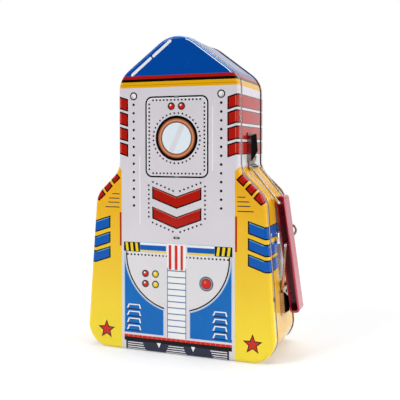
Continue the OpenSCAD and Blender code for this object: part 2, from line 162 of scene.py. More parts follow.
# Each ink is one colour, or one at the base and one at full height.
# Its fourth number is 1 for print and 0 for bare tinplate.
INKS = {name: [np.append(linear(c), name != "tin") for c in cs] for name, cs in {
    "panel": [(228, 224, 229), (224, 218, 225)],
    "bowl": [(232, 229, 232)], "white": [(248, 248, 248)], "cyan": [(120, 200, 235)],
    "paleblue": [(176, 205, 236)],
    "blue": [(0, 75, 166)], "lowblue": [(0, 108, 192)], "midblue": [(0, 92, 186)],
    "black": [(7, 8, 10)], "red": [(184, 27, 15)], "brightred": [(222, 36, 28)],
    "redlight": [(226, 106, 92)],
    "fin": [(255, 230, 60), (241, 120, 0)], "band": [(240, 186, 28), (236, 168, 6)],
    "gold": [(240, 178, 14)], "golddark": [(214, 140, 10)], "yellow": [(250, 218, 40)],
    "copper": [(178, 104, 66)], "copperlight": [(226, 156, 116)], "copperdark": [(116, 60, 38)],
    "glass": [(236, 246, 253)], "glasslight": [(232, 230, 236)],
    "palegrey": [(188, 186, 192)], "slate": [(50, 52, 72)],
    "ladder": [(84, 118, 168)], "star": [(212, 44, 38)], "tin": [(176, 176, 172)],
}.items()}


def ink_at(name, z):
    """The ink's colour at height z."""
    cs = INKS[name]
    if len(cs) == 1:
        return cs[0]
    t = z / HEIGHT
    return cs[0] * (1 - t) + cs[1] * t


# ---- Flat shapes ----
MITRE_LIMIT = 0.3  # keeps a sharp corner from growing into a spike
DOT_SIDES = 8


def turned_left(poly):
    """The polygon with its points in anticlockwise order."""
    area = sum(a[0] * b[1] - b[0] * a[1] for a, b in zip(poly, poly[1:] + poly[:1]))
    return poly if area > 0 else poly[::-1]


def grow(poly, d):
    """The polygon with each side moved outward by d."""
    poly, out = turned_left(list(poly)), []
    for i, p in enumerate(poly):
        a, b = Vector(poly[i - 1]), Vector(poly[(i + 1) % len(poly)])
        p = Vector(p)
        e, f = (p - a).normalized(), (b - p).normalized()
        n, m = Vector((e.y, -e.x)), Vector((f.y, -f.x))
        out.append(tuple(p + (n + m) * d / max(MITRE_LIMIT, 1 + n.dot(m))))
    return out


def disc(x, z, r, n=20):
    return [(x + r * math.cos(math.tau * k / n), z + r * math.sin(math.tau * k / n))
            for k in range(n)]


def star_shape(x, z, tip, notch):
    """A five-pointed star with one point up."""
    return [(x + r * math.sin(math.pi * k / 5), z + r * math.cos(math.pi * k / 5))
            for k, r in enumerate([tip, notch] * 5)]


def round_rect(x0, z0, x1, z1, r, n=5):
    out = []
    for cx, cz, first in ((x1 - r, z1 - r, 0), (x0 + r, z1 - r, 90),
                          (x0 + r, z0 + r, 180), (x1 - r, z0 + r, 270)):
        for k in range(n + 1):
            a = math.radians(first + 90 * k / n)
            out.append((cx + r * math.cos(a), cz + r * math.sin(a)))
    return out


def rect(x0, z0, x1, z1):
    return [(x0, z0), (x1, z0), (x1, z1), (x0, z1)]


def stroke(p, q, width):
    """A straight line from p to q with square ends."""
    p, q = Vector(p), Vector(q)
    e = (q - p).normalized()
    n = Vector((-e.y, e.x)) * width / 2
    return [tuple(p - n), tuple(q - n), tuple(q + n), tuple(p + n)]


def pill(p, q, width, n=5):
    """A straight line from p to q with round ends."""
    p, q = Vector(p), Vector(q)
    a = math.atan2(q.y - p.y, q.x - p.x)
    out = []
    for c, first in ((q, a - math.pi / 2), (p, a + math.pi / 2)):
        out += [(c.x + width / 2 * math.cos(first + math.pi * k / n),
                 c.y + width / 2 * math.sin(first + math.pi * k / n)) for k in range(n + 1)]
    return out


class Print:
    """Shapes in the order they are printed, each over the ones before it."""

    def __init__(self):
        self.shapes = []

    def add(self, ink, poly):
        """One shape."""
        self.shapes.append((ink, turned_left([tuple(p) for p in poly])))

    def pair(self, ink, poly):
        """A shape and its mirror image on the other side."""
        self.add(ink, poly)
        self.add(ink, [(-x, z) for x, z in poly])

    def block(self, ink, poly, line=1.05, pair=True):
        """A shape with a black line round it, inside its edge."""
        put = self.pair if pair else self.add
        put("black", poly)
        put(ink, grow(poly, -line))

    def dots(self, p, q, count, r):
        """Rivet heads from p to q, and their mirror image."""
        for k in range(count):
            t = k / (count - 1)
            x, z = p[0] + (q[0] - p[0]) * t, p[1] + (q[1] - p[1]) * t
            self.pair("black", disc(x, z, r, DOT_SIDES))

    def lamp(self, x, z, r, ink):
        """A round lamp with a black ring, a pale edge and a glint."""
        self.add("palegrey", disc(x, z, r + 0.35))
        self.add("black", disc(x, z, r))
        self.add(ink, disc(x, z, r * 0.72))
        self.add("white", disc(x - r * 0.22, z + r * 0.28, r * 0.26, 10))


# Lines under the nose, each from one height to another. The nose is blue from BLUE_FROM up, and
# the sides are yellow up to YELLOW_TO.
NOSE_LINES = [("gold", 202.0, 206.4), ("black", 206.4, 208.5), ("red", 208.5, 210.9)]
BLUE_FROM, YELLOW_TO = 210.9, 142.5
WINDOW_Z = 163.7
# Side blocks: top and low height at the inner end, and the same at the fold and outwards
RED_BLOCKS = [(193.7, 184.1, 195.8, 186.1), (182.4, 172.5, 184.4, 174.5),
              (170.8, 161.0, 172.7, 162.8), (159.1, 149.4, 161.0, 151.6)]
BLUE_BLOCKS = [(103.9, 94.5, 99.8, 90.4), (91.6, 82.7, 87.3, 78.3), (80.0, 71.0, 76.0, 66.7)]
# Shoulder blocks: two corners inside, then two by the outline
SHOULDER_BLOCKS = [[(46.5, 133.3), (52.0, 128.3), (54.0, 131.6), (49.5, 138.4)],
                   [(53.2, 126.9), (58.2, 121.6), (60.7, 125.3), (55.8, 129.8)],
                   [(59.3, 120.2), (65.2, 115.0), (66.3, 117.2), (61.5, 123.5)]]
# Shapes that run off the face end at these, well past the outline, or go this far beyond it
PAST_X, FIN_PAST_X, BLOCK_PAST_X, PAST_TOP_Z, PAST_LOW_Z = 90, 99, 62, 260, -9
PAST_EDGE = 5


def nose_and_body(a):
    a.add("blue", rect(-PAST_X, BLUE_FROM, PAST_X, PAST_TOP_Z))
    tip = ROUND / 2
    # Painted highlights on the nose's rounded edge: thin cyan lines along both slopes and a white
    # line on the right slope, standing in for reflections
    for s0, s1, ink, near, far in ((tip - 10, tip + 58, "cyan", 0.45, 0.75),
                                   (tip - 58, tip + 4, "cyan", 0.45, 0.75),
                                   (tip - 58, tip - 8, "white", 1.4, 2.0)):
        # The line turns where the outline's own stations do
        pts = [s0] + [s for s in STATIONS[:, 0] if s0 + 0.5 < s < s1 - 0.5] + [s1]
        a.add(ink, [offset_point(s, near) for s in pts]
              + [offset_point(s, far) for s in reversed(pts)])
    a.add("white", pill((-5.0, 236.1), (-18.5, 225.6), 2.2))
    a.add("white", pill((-21.0, 223.9), (-36.2, 211.9), 2.2))
    for ink, low, high in reversed(NOSE_LINES):
        a.add(ink, rect(-PAST_X, low, PAST_X, high))
    a.add("golddark", rect(-PAST_X, 203.6, PAST_X, 204.2))
    for top, low, fold_top, fold_low in RED_BLOCKS:
        a.block("red", [(39.9, top), (46.5, fold_top), (BLOCK_PAST_X, fold_top),
                        (BLOCK_PAST_X, fold_low), (46.5, fold_low), (39.9, low)])
        a.pair("redlight", rect(45.9, fold_low + 1.2, 46.5, fold_top - 1.2))
    a.pair("black", disc(35.2, 195.8, 3.1))
    a.pair("white", disc(35.2, 195.8, 2.1))
    a.pair("palegrey", disc(35.6, 195.3, 1.2, 12))
    a.pair("white", disc(35.0, 195.9, 1.1, 12))
    a.dots((35.2, 189.3), (35.2, 112.2), 13, 1.05)
    # Two white streaks on the face: painted highlight lines, laid down as print
    for x, low, high in ((-30.2, 98, 150), (28.6, 140, 187)):
        a.add("white", pill((x, low), (x, high), 0.7))


def door(a):
    a.add("black", round_rect(-25.4, 134.1, 25.4, 195.3, 5.4))
    a.add("white", round_rect(-24.2, 135.3, 24.2, 194.1, 4.4))
    a.add("panel", round_rect(-23.75, 135.3, 23.75, 193.35, 4.0))
    for z in (192.3, 137.3):
        for k in range(14):
            a.add("black", disc(-19 + 38 * k / 13, z, 0.78, DOT_SIDES))
    for k in range(18):
        a.pair("black", disc(22.2, 140.3 + 49.0 * k / 17, 0.78, DOT_SIDES))
    for z in (194.6, 134.8):
        a.add("slate", [(-2.9, z + 0.4), (-2.0, z - 0.8), (2.0, z - 0.8), (2.9, z + 0.4)])
        a.add("palegrey", rect(-1.6, z - 0.3, 1.6, z + 0.1))
    a.lamp(-4.1, 187.6, 2.8, "brightred")
    a.lamp(4.1, 187.6, 2.8, "brightred")
    for k in range(36):
        t = math.tau * (k + 0.5) / 36
        a.add("black", disc(18.8 * math.cos(t), WINDOW_Z + 18.8 * math.sin(t), 0.74, DOT_SIDES))
    for ink, r in (("black", 16.9), ("copperdark", 15.0), ("copper", 14.6), ("copperlight", 13.8),
                   ("copper", 12.9), ("black", 12.0), ("glass", 11.6)):
        a.add(ink, disc(0, WINDOW_Z, r, 56))
    a.add("glasslight", [(-6.2, 154.4), (-2.6, 152.6), (6.8, 173.0), (3.2, 174.8)])


def chevrons(a):
    a.dots((19.2, 130.6), (2.8, 124.2), 6, 0.8)
    a.dots((22.7, 128.0), (22.7, 104.1), 8, 0.8)
    a.dots((19.5, 99.8), (3.0, 93.5), 6, 0.8)
    for top, apex_top, low, apex_low in ((127.3, 120.1, 118.0, 110.7), (112.0, 104.7, 102.8, 95.4)):
        poly = [(-19.9, top), (0, apex_top), (19.9, top), (19.9, low), (0, apex_low), (-19.9, low)]
        a.block("red", poly, pair=False)
        a.add("redlight", stroke((-19.0, top - 1.3), (-0.3, apex_top - 1.2), 0.5))
        a.add("redlight", stroke((0.6, apex_top - 1.0), (19.0, top - 1.3), 0.5))
    a.add("black", pill((-1.7, 88.9), (1.7, 88.9), 1.9))
    a.add("palegrey", pill((-1.1, 88.9), (1.1, 88.9), 0.8))


def fins(a):
    a.pair("fin", [(45.7, PAST_LOW_Z), (FIN_PAST_X, PAST_LOW_Z), (FIN_PAST_X, 126),
                   (49.4, 143.6), (45.7, 139.4)])
    a.pair("red", rect(45.9, 80.8, 47.4, 106.8))
    for x, z in ((53.4, 120.9), (56.3, 117.5), (57.0, 114.3), (59.5, 110.6)):
        a.pair("slate", pill((47.9, z), (x, z), 0.75, 3))
    for poly in SHOULDER_BLOCKS:
        inner, outer = poly[:2], poly[2:]
        normals = [nearest(x, z)[2] for x, z in outer]
        a.block("red", inner + [(x + PAST_EDGE * n[0], z + PAST_EDGE * n[1])
                                for (x, z), n in zip(outer, normals)])
    for top, low, fold_top, fold_low in BLUE_BLOCKS:
        a.block("midblue", [(55.5, top), (68.0, fold_top), (PAST_X, fold_top),
                            (PAST_X, fold_low), (68.0, fold_low), (55.5, low)])
        a.pair("cyan", stroke((56.4, top - 1.5), (67.6, fold_top - 1.2), 0.4))
    star = star_shape(59.2, 14.2, 6.5, 2.7)
    a.pair("black", grow(star, 0.55))
    a.pair("star", grow(star, -0.25))


def console(a):
    a.pair("lowblue", rect(10.4, 13.8, 43.7, 74))
    a.pair("paleblue", rect(43.2, 16, 43.7, 74))
    a.pair("paleblue", rect(10.4, 13.8, 10.9, 40))
    for r, inner_x, ink in ((43.4, 10.2, "paleblue"), (42.6, 10.2, "bowl"),
                            (42.2, 10.2, "black"), (41.1, 8.0, "bowl")):
        arc = [(r * math.sin(math.radians(t)), 75 - r * math.cos(math.radians(t)))
               for t in range(14, 91, 4)]
        a.pair(ink, [(inner_x, 76.5), (inner_x, arc[0][1])] + arc + [(arc[-1][0], 76.5)])
    a.pair("black", rect(30.0, 76.8, 43.9, 84.1))
    for k in range(3):
        x = 32.3 + 4.1 * k
        a.pair("yellow", [(x - 0.8, 77.2), (x + 1.3, 77.2), (x + 2.1, 83.7), (x, 83.7)])
    a.pair("paleblue", rect(8.6, 76.8, 30.2, 84.6))
    a.pair("white", rect(8.6, 82.4, 29.9, 84.0))
    a.pair("midblue", rect(8.6, 78.4, 30.1, 82.2))
    a.pair("yellow", rect(8.6, 76.9, 29.6, 78.2))
    a.dots((40.5, 74.6), (8.0, 74.6), 12, 0.78)
    a.add("white", rect(-7.8, 12.5, 7.8, 84))
    for x0, x1 in ((-6.4, -4.2), (-1.5, 0.8), (3.2, 5.2)):
        a.add("brightred", rect(x0, 64.6, x1, 83.2))
    for x in (-7.45, 7.45):
        a.add("ladder", stroke((x, 12.5), (x, 66), 0.6))
    for k in range(11):
        z = 63.8 - 4.68 * k
        a.add("ladder", stroke((-7.4, z), (7.4, z), 0.8))
    for x, z, ink in ((-25.7, 60.4, "brightred"), (-17.3, 60.5, "yellow"),
                      (-25.7, 52.6, "brightred"), (-17.3, 52.5, "yellow")):
        a.lamp(x, z, 2.75, ink)
    for ink, r in (("palegrey", 5.8), ("slate", 5.3), ("palegrey", 4.6), ("slate", 4.1),
                   ("brightred", 3.4)):
        a.add(ink, disc(23.7, 55.8, r, 28))
    a.add("redlight", disc(22.8, 56.9, 1.0, 12))
    for x0, x1 in ((-41.5, -29.5), (28.6, 40.2)):
        for top, low in ((36.1, 32.1), (30.6, 26.5), (25.2, 20.9), (19.7, 15.4)):
            a.add("black", [(x0 + 0.6, low - 0.2), (x1 - 0.6, low - 0.2),
                            (x1, low + 0.7), (x0, low + 0.7)])
            a.add("white", [(x0, low + 0.6), (x1, low + 0.6), (x1 - 1.0, top), (x0 + 1.6, top)])
            a.add("lowblue", [(x0 + 1.1, low + 0.6), (x1 - 1.1, low + 0.6), (x1 - 1.7, top - 0.8),
                              (x0 + 2.3, top - 0.8)])


def foot_strip(a):
    a.add("panel", rect(-45.7, PAST_LOW_Z, 45.7, 12.6))
    a.add("brightred", rect(-43.7, 10.3, 43.7, 12.2))
    for k in range(22):
        x = -40.3 + 3.95 * k
        a.add("redlight", rect(x, 10.3, x + 0.5, 12.2))
    a.add("black", rect(-43.7, 7.4, 43.7, 10.3))
    a.add("slate", rect(-30, PAST_LOW_Z, 30, 7.4))
    # White bars in three vents, each bar's ends a step further than those of the one above it
    for x0, x1, step0, step1 in ((-40.8, -28, 0, 0.8), (-6.5, 5.5, -0.8, 0.8), (27, 40, 0.8, 0)):
        a.add("slate", rect(x0 - 1.5, PAST_LOW_Z, x1 + 1.5, 7.4))
        for k, z in enumerate((6.2, 4.5, 2.8, 1.2)):
            a.add("white", rect(x0 + step0 * k, z - 0.32, x1 + step1 * k, z + 0.32))
    for x in (-14.6, 13.3):
        a.add("white", [(x - 1.7, 7.6), (x + 1.7, 7.6), (x, 3.9)])


def face_print():
    a = Print()
    for part in (nose_and_body, door, chevrons, fins, console, foot_strip):
        part(a)
    return a


RIM_DEEP = 10  # a strip less deep than this is a rim, which carries the face's print round
SIDE_LINE = 0.6  # width of the black lines round the side blocks
# How far the black painted seam shadow reaches past each seam, and before the rear one
SEAM_SHADOW = 1.1
SEAM_HIGHLIGHT = (1.95, 1.35)  # painted highlight on the front rolled edge: where it starts and ends before the front seam


def side_print(front, rear):
    """Print of a strip round the outline, between two depths, in (distance round, depth)."""
    a = Print()
    is_rim = rear - front < RIM_DEEP

    def span(ink, s0, s1):
        a.add(ink, rect(s0, front - 1, s1, rear + 1))
        a.add(ink, rect(ROUND - s1, front - 1, ROUND - s0, rear + 1))

    def between(ink, low, high):
        span(ink, s_at_z(low), s_at_z(high))

    foot = nearest(46, 0)[0]
    span("slate", -1, foot)
    span("fin" if is_rim else "band", foot, s_at_z(YELLOW_TO))
    for ink, low, high in NOSE_LINES:
        between(ink, low, high)
    span("blue", s_at_z(BLUE_FROM), ROUND / 2 + 0.1)
    for ink, blocks in (("red", RED_BLOCKS), ("midblue", BLUE_BLOCKS)):
        for _, _, top, low in blocks:
            between("black", low, top)
            between(ink, low + SIDE_LINE, top - SIDE_LINE)
    if is_rim:
        for poly in SHOULDER_BLOCKS:
            first, last = sorted(nearest(*p)[0] for p in poly[2:])
            span("black", first, last)
            span("red", first + SIDE_LINE, last - SIDE_LINE)
    # The print stops short of each rolled edge, which gets a black painted shadow, with a pale
    # painted highlight line at the front one
    for seam, dark in ((FRONT_SEAM_Y, 2.6), (REAR_SEAM_Y, SEAM_SHADOW)):
        if front - 1 < seam < rear + 1:
            a.add("black", rect(-1, seam - dark, ROUND + 1, seam + SEAM_SHADOW))
            if seam == FRONT_SEAM_Y:
                a.add("palegrey", rect(-1, seam - SEAM_HIGHLIGHT[0], ROUND + 1, seam - SEAM_HIGHLIGHT[1]))
    return a


# ---- Skins ----
class Skin:
    """A mesh in progress, with a normal and an ink for each corner of each face."""

    def __init__(self):
        self.points, self.index, self.faces, self.normals, self.inks = [], {}, [], [], []

    def add(self, corners, normals, inks):
        """One face. Corners that agree to 0.001 mm are one point."""
        ids = []
        for p in corners:
            key = tuple(round(c, 3) for c in p)
            if key not in self.index:
                self.index[key] = len(self.points)
                self.points.append(tuple(c * MM for c in p))
            ids.append(self.index[key])
        if len(set(ids)) < len(ids):
            return
        self.faces.append(ids)
        self.normals += [tuple(n) for n in normals]
        self.inks += inks

    def lay(self, tris, places, plain, flip, inward):
        """Triangles cut from a print, over (point, outward normal) places of this skin."""
        sign = -1 if inward else 1
        for tri, ink in tris:
            turn = tri[::-1] if flip else tri
            self.add([places[i][0] for i in turn],
                     [tuple(sign * c for c in places[i][1]) for i in turn],
                     [ink_at(ink or plain, places[i][0][2]) for i in turn])

    def build(self, name, body, slot, nodes, material):
        mesh = bpy.data.meshes.new(name)
        mesh.from_pydata(self.points, [], self.faces)
        layer = mesh.color_attributes.new("ink", "FLOAT_COLOR", "CORNER")
        layer.data.foreach_set("color", [v for c in self.inks for v in c])
        mesh.polygons.foreach_set("use_smooth", [True] * len(mesh.polygons))
        mesh.normals_split_custom_set(self.normals)
        mesh.materials.append(material)
        piece = bpy.data.objects.new(name, mesh)
        bpy.context.scene.collection.objects.link(piece)
        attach(piece, body)
        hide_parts(*nodes)


CUT_EPSILON = 1e-4


def cut(base_polys, a):
    """Triangles of the area inside base_polys[0], each with the ink printed last over it."""
    coords, faces = [], []
    for poly in base_polys + [poly for _, poly in a.shapes]:
        faces.append(list(range(len(coords), len(coords) + len(poly))))
        coords += [Vector(p) for p in poly]
    vs, _, tris, _, _, origin = delaunay_2d_cdt(coords, [], faces, 0, CUT_EPSILON)
    first = len(base_polys)
    out = []
    for tri, ids in zip(tris, origin):
        if 0 not in ids:
            continue
        top = max(ids)
        out.append((tri, a.shapes[top - first][0] if top >= first else None))
    return vs, out


EDGE_STEP = 15  # degrees between the rings of the rounded edge
SNAP = 0.03  # a point this near the side counts as on it


def add_face(skin, face_y, side, a, plain, inside=0.0):
    """The flat face and its rounded edge; side is -1 at the front, 1 at the rear.

    With inside above 0 it is the sheet's inner surface, that far in from the outer one."""
    r = EDGE_R - inside
    rings = []
    for phi in range(0, 91, EDGE_STEP):
        inset = inside + r * (1 - math.cos(math.radians(phi)))
        rings.append([(row[1] - row[3] * inset, row[2] - row[4] * inset) for row in STATIONS[:-1]])
    vs, tris = cut(rings, a)
    made = []
    for v in vs:
        _, inset, n = nearest(v.x, v.y)
        d = inset - inside
        d = 0.0 if d < SNAP else d
        c = max(0.0, (r - d) / r)
        w = math.sqrt(max(0.0, 1 - c * c))
        y = face_y - side * (inside + r * (1 - w))
        made.append(((v.x, y, v.y), (n[0] * c, side * w, n[1] * c)))
    # The triangles run anticlockwise in (x, z), which faces -Y
    skin.lay(tris, made, plain, (side < 0) == (inside > 0), inside > 0)


# Shapes along the seams, for t from 0 at the seam to 1 at their width
BEAD_HIGH, BEAD_START, BEAD_WIDE = 0.45, 0.15, 1.7
LIP_HIGH, LIP_START, LIP_RISE, LIP_WIDE = 0.55, 0.45, 4, 5.2
GROOVE_DEEP, GROOVE_WIDE = 0.4, 1.0
SHAPE_STEPS = 8
# They fade out towards the flat base
FADE_FROM_Z, FADE_OVER = 0.5, 6
SLOPE_STEP = 0.04  # the slope of a shape is taken over twice this


def smooth(t):
    """From 0 to 1 with level ends."""
    return t * t * (3 - 2 * t)


def rolled_bead(t):
    """The front panel's rolled edge: half a bead, highest a little way from the seam."""
    return BEAD_HIGH * math.sin(math.pi * (BEAD_START + (1 - BEAD_START) * t))


def proud_lip(t):
    """The lid's edge stands a little proud at the seam and eases down to the rim."""
    return LIP_HIGH * min(1.0, LIP_START + LIP_RISE * t) * (1 - smooth(t))


def groove(t):
    """The band dips into the dark line at each seam."""
    return -GROOVE_DEEP * (0.5 + 0.5 * math.cos(math.pi * t))


def add_strip(skin, y0, y1, a, plain, edges=(), shape=groove, reach=GROOVE_WIDE, inside=0.0):
    """The strip round the outline between two depths, shaped within reach of each of its edges."""
    levels = {y0, y1}
    for e in edges:
        levels |= {e + sign * reach * k / SHAPE_STEPS
                   for sign in (-1, 1) for k in range(SHAPE_STEPS + 1)}
    levels = sorted(y for y in levels if y0 - TINY <= y <= y1 + TINY)
    stations = STATIONS[:, 0]
    base = [rect(0, y0, ROUND, y1)]
    base += [rect(0, lo, ROUND, hi) for lo, hi in zip(levels, levels[1:])]
    base += [rect(p, y0, q, y1) for p, q in zip(stations, stations[1:])]
    vs, tris = cut(base, a)

    def place(s, y):
        x, z, nx, nz = at(min(max(s, 0.0), ROUND))
        fade = smooth(min(1.0, max(0.0, (z - FADE_FROM_Z) / FADE_OVER)))
        near = min((abs(y - e) / reach for e in edges), default=1.0)
        off = (shape(near) * fade if near < 1 else 0.0) - inside
        return np.array([x + nx * off, y, z + nz * off]), np.array([nx, 0, nz])

    made = []
    for v in vs:
        p, n = place(v.x, v.y)
        ahead = place(v.x, min(v.y + SLOPE_STEP, y1))[0]
        behind = place(v.x, max(v.y - SLOPE_STEP, y0))[0]
        slope = float((ahead - behind) @ n) / max(TINY, ahead[1] - behind[1])
        m = n - slope * np.array([0, 1, 0])
        made.append((tuple(p), tuple(m / np.linalg.norm(m))))
    skin.lay(tris, made, plain, inside == 0, inside > 0)


def add_hem(skin, y, side):
    """The cut edge of the sheet at depth y, facing side."""
    for a, b in zip(STATIONS, STATIONS[1:]):
        outer = [(r[1], y, r[2]) for r in (a, b)]
        inner = [(r[1] - r[3] * SHEET, y, r[2] - r[4] * SHEET) for r in (a, b)]
        ring = [outer[0], outer[1], inner[1], inner[0]]
        skin.add(ring if side < 0 else ring[::-1], [(0, side, 0)] * 4, [INKS["tin"][0]] * 4)


def cap(name, body, slot, node, face_y, seam_y, material):
    """The front panel or the lid: its face and its rim, printed outside and bare inside."""
    side = -1 if face_y < seam_y else 1
    edge_y = face_y - side * EDGE_R
    skin, none = Skin(), Print()
    add_face(skin, face_y, side, face_print(), "panel")
    low, high = sorted((edge_y, seam_y))
    shape, reach = (rolled_bead, BEAD_WIDE) if side < 0 else (proud_lip, LIP_WIDE)
    add_strip(skin, low, high, side_print(low, high), "panel", (seam_y,), shape, reach)
    add_strip(skin, low, high, none, "tin", inside=SHEET)
    add_face(skin, face_y, side, none, "tin", inside=SHEET)
    add_hem(skin, seam_y, -side)
    skin.build(name, body, slot, [node], material)


def band(name, body, slot, node, y0, y1, material):
    """The side wall between the two seams, printed outside and bare inside."""
    skin = Skin()
    add_strip(skin, y0, y1, side_print(y0, y1), "panel", (y0, y1))
    add_strip(skin, y0, y1, Print(), "tin", inside=SHEET)
    add_hem(skin, y0, -1)
    add_hem(skin, y1, 1)
    skin.build(name, body, slot, [node], material)


# ---- Materials ----
class Nodes:
    """Shorthand for building one material's node tree."""

    def __init__(self, name):
        self.material = bpy.data.materials.new(name)
        self.material.use_nodes = True
        self.tree = self.material.node_tree
        self.shader = self.tree.nodes["Principled BSDF"]
        self.place = self.make("ShaderNodeTexCoord").outputs["Object"]

    def make(self, kind, **values):
        """A node, with values for its inputs or else its properties."""
        n = self.tree.nodes.new(kind)
        for key, value in values.items():
            if key in n.inputs:
                n.inputs[key].default_value = value
            else:
                setattr(n, key, value)
        return n

    def link(self, a, b):
        self.tree.links.new(a, b)

    def math(self, operation, *terms):
        """A Math node on links and plain numbers."""
        n = self.make("ShaderNodeMath", operation=operation)
        for socket, v in zip(n.inputs, terms):
            if isinstance(v, bpy.types.NodeSocket):
                self.link(v, socket)
            else:
                socket.default_value = v
        return n.outputs[0]

    def axes(self, vector):
        """The vector's X, Y and Z."""
        n = self.make("ShaderNodeSeparateXYZ")
        self.link(vector, n.inputs[0])
        return n.outputs

    def blend(self, fac, a, b):
        """Shader a where fac is 0, shader b where it is 1, as the material's surface."""
        n = self.make("ShaderNodeMixShader")
        for socket, v in zip(n.inputs, (fac, a, b)):
            self.link(v, socket)
        self.link(n.outputs[0], self.tree.nodes["Material Output"].inputs["Surface"])

    def noise(self, scale, detail=3.0, rough=0.5, stretch=(1, 1, 1)):
        """Noise fixed to the piece: scale is the number of its features in a metre."""
        m = self.make("ShaderNodeMapping")
        m.inputs["Scale"].default_value = stretch
        self.link(self.place, m.inputs["Vector"])
        n = self.make("ShaderNodeTexNoise")
        n.inputs["Scale"].default_value = scale
        n.inputs["Detail"].default_value = detail
        n.inputs["Roughness"].default_value = rough
        self.link(m.outputs[0], n.inputs["Vector"])
        return n.outputs["Fac"]

    def ramp(self, fac, low, high, a, b):
        """fac from low to high, turned into a value from a to b."""
        n = self.make("ShaderNodeMapRange")
        for key, v in zip(("From Min", "From Max", "To Min", "To Max"), (low, high, a, b)):
            n.inputs[key].default_value = v
        self.link(fac, n.inputs["Value"])
        return n.outputs["Result"]

    def mix(self, fac, a, b, kind="MIX"):
        """Colour a where fac is 0, colour b where it is 1, from links, numbers or colours."""
        n = self.make("ShaderNodeMix", data_type="RGBA", blend_type=kind)
        for socket, v in ((n.inputs[0], fac), (n.inputs[6], a), (n.inputs[7], b)):
            if isinstance(v, bpy.types.NodeSocket):
                self.link(v, socket)
            elif isinstance(v, (int, float)):
                socket.default_value = v
            else:
                socket.default_value = (*v, 1.0)
        return n.outputs[2]

    def bump(self, layers):
        """Bumps one after another: (height, strength, distance in mm)."""
        last = None
        for height, strength, distance in layers:
            n = self.make("ShaderNodeBump")
            n.inputs["Strength"].default_value = strength
            n.inputs["Distance"].default_value = distance * MM
            self.link(height, n.inputs["Height"])
            if last is not None:
                self.link(last, n.inputs["Normal"])
            last = n.outputs["Normal"]
        self.link(last, self.shader.inputs["Normal"])

    def set(self, **values):
        """Inputs of the shader, with _ for each space in a name."""
        for key, v in values.items():
            self.shader.inputs[key.replace("_", " ")].default_value = v


def printed_tin(name):
    """Lacquered print on tinplate, and the bare tinplate inside it.

    The print has even ink, a faint press grain and scuffs; the bare side is cloudy metal. Both
    are on one slightly wavy sheet. The coat's IOR is low so that its haze doesn't veil the ink."""
    m = Nodes(name)
    skin = m.make("ShaderNodeAttribute", attribute_name="ink")
    ink, printed = skin.outputs["Color"], skin.outputs["Alpha"]
    drift = m.ramp(m.noise(22, 2), 0.3, 0.7, 0.965, 1.02)
    grain = m.ramp(m.noise(2600, 2), 0.3, 0.7, 0.975, 1.02)
    shade = m.math("MULTIPLY", drift, grain)
    tone = m.make("ShaderNodeCombineColor")
    for k in range(3):
        m.link(shade, tone.inputs[k])
    colour = m.mix(1.0, ink, tone.outputs[0], "MULTIPLY")
    scuff = m.ramp(m.noise(140, 8, 0.72, (1, 1, 0.25)), 0.70, 0.76, 0.0, 0.35)
    colour = m.mix(scuff, colour, (0.62, 0.61, 0.60))
    cloud = m.ramp(m.noise(75, 5, 0.65, (1, 1, 0.4)), 0.35, 0.68, 0.0, 1.0)
    bare = m.mix(cloud, (0.74, 0.73, 0.71), (0.52, 0.50, 0.47))
    m.link(m.mix(printed, bare, colour), m.shader.inputs["Base Color"])
    m.link(m.ramp(m.noise(60, 5, 0.6), 0.3, 0.7, 0.16, 0.30), m.shader.inputs["Roughness"])
    m.link(m.ramp(printed, 0.0, 1.0, 1.0, 0.0), m.shader.inputs["Metallic"])
    m.link(printed, m.shader.inputs["Coat Weight"])
    m.set(Coat_Roughness=0.03, Coat_IOR=1.22, Specular_IOR_Level=0.1)
    m.bump([(m.noise(34, 1), 0.25, 0.5), (m.noise(900, 2), 0.05, 0.05)])
    return m.material


def metal_nodes(name, tint, dark, rough, scale=1.0, stretch=(1, 1, 1)):
    """Plated or drawn steel: brushed grain, cloudy tarnish and small pits."""
    m = Nodes(name)
    cloud = m.ramp(m.noise(90 * scale, 5, 0.6), 0.35, 0.68, 0.0, 1.0)
    colour = m.mix(cloud, tint, dark)
    spots = m.ramp(m.noise(900 * scale, 3, 0.7), 0.66, 0.74, 0.0, 0.55)
    m.link(m.mix(spots, colour, tuple(c * 0.3 for c in dark)), m.shader.inputs["Base Color"])
    m.link(m.ramp(m.noise(420 * scale, 4, 0.6, stretch), 0.3, 0.7, rough * 0.7, rough * 1.5),
           m.shader.inputs["Roughness"])
    m.set(Metallic=1.0)
    m.bump([(m.noise(1500 * scale, 2, 0.5, stretch), 0.08, 0.06), (m.noise(60, 2), 0.2, 0.2)])
    return m


def metal(*spec, **options):
    """The material that metal_nodes makes."""
    return metal_nodes(*spec, **options).material


def plastic(name, tint, deep):
    """Moulded gloss plastic with flow clouding, an uneven polish and a fine moulded grain."""
    m = Nodes(name)
    cloud = m.ramp(m.noise(30, 2, 0.5), 0.3, 0.7, 0.0, 0.3)
    m.link(m.mix(cloud, tint, deep), m.shader.inputs["Base Color"])
    m.link(m.ramp(m.noise(260, 4, 0.6), 0.3, 0.75, 0.20, 0.30), m.shader.inputs["Roughness"])
    m.set(Coat_Weight=0.8, Coat_Roughness=0.1, Subsurface_Weight=0.06, Subsurface_Scale=0.002)
    m.bump([(m.noise(1100, 3), 0.03, 0.05), (m.noise(24, 1), 0.08, 0.2)])
    return m.material


# The lower link's bend is at this height, and the copper gives way to a painted highlight of bright
# steel colour over this much
WIRE_BEND_Z, BEND_HIGHLIGHT_OVER = 82.4, 0.3


